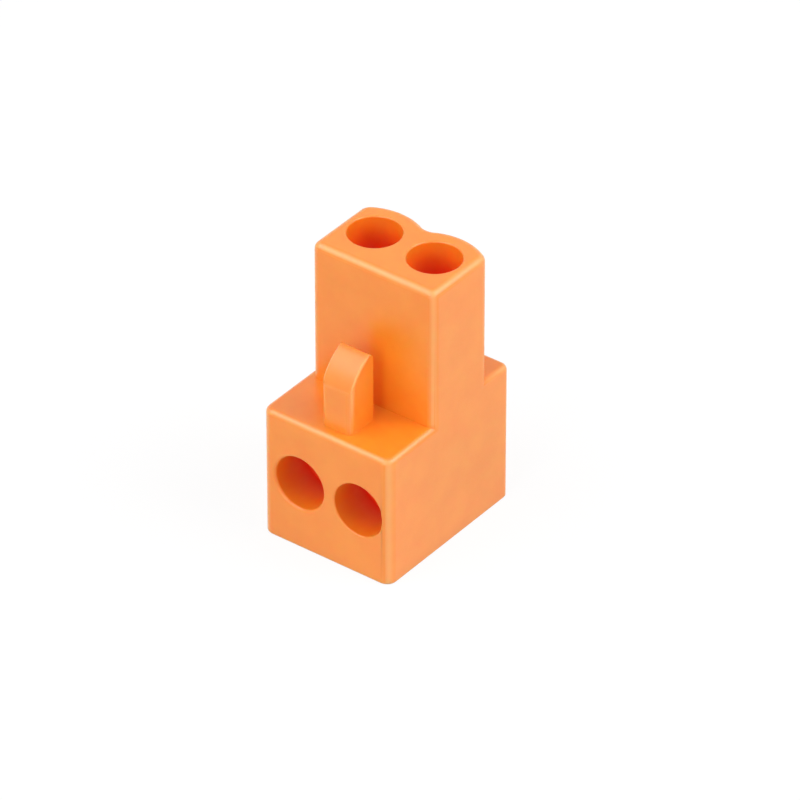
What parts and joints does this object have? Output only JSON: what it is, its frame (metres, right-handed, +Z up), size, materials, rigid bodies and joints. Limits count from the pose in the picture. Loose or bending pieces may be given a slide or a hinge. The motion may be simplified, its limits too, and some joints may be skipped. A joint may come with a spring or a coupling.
{
  "type": "pluggable terminal block",
  "caption": "Plug for a board header: block with screw clamps behind round screwdriver holes, a lobed mating nose with round pin mouths, and a latch finger.",
  "frame": {"origin": "middle of the underside, the wire side that the plug stands on", "axes": "+X across the poles, +Y from the screwdriver holes to the back, +Z up the mating nose"},
  "size_m": [0.011, 0.0136, 0.0215],
  "materials": {
    "moulded_polyester": "satin, as moulded",
    "tinned_bronze": "stamped, tin plated",
    "zinc_plated_steel": "stamped and bent, zinc plated",
    "plated_screw_steel": "headed and rolled, zinc plated"
  },
  "bodies": {
    "housing": {"housing": "moulded_polyester", "contact_left": "tinned_bronze", "contact_right": "tinned_bronze"},
    "screw_left": {"screw_left": "plated_screw_steel"},
    "yoke_left": {"yoke_left": "zinc_plated_steel"},
    "screw_right": {"screw_right": "plated_screw_steel"},
    "yoke_right": {"yoke_right": "zinc_plated_steel"}
  },
  "joints": [
    {"name": "screw_left_turn", "type": "hinge", "parent": "housing", "child": "screw_left", "pos_m": [-0.00229, -0.00352, 0.00535], "axis": [0, 1, 0], "range_deg": [0, 1728]},
    {"name": "yoke_left_slide", "type": "slide", "parent": "housing", "child": "yoke_left", "axis": [0, -1, 0], "range_m": [0, 0.0024]},
    {"name": "screw_right_turn", "type": "hinge", "parent": "housing", "child": "screw_right", "pos_m": [0.00279, -0.00352, 0.00535], "axis": [0, 1, 0], "range_deg": [0, 1728]},
    {"name": "yoke_right_slide", "type": "slide", "parent": "housing", "child": "yoke_right", "axis": [0, -1, 0], "range_m": [0, 0.0024]}
  ],
  "couplings": [
    {"joint": "screw_left_turn", "follows": "yoke_left_slide", "rad_per_m": 12566},
    {"joint": "screw_right_turn", "follows": "yoke_right_slide", "rad_per_m": 12566}
  ]
}
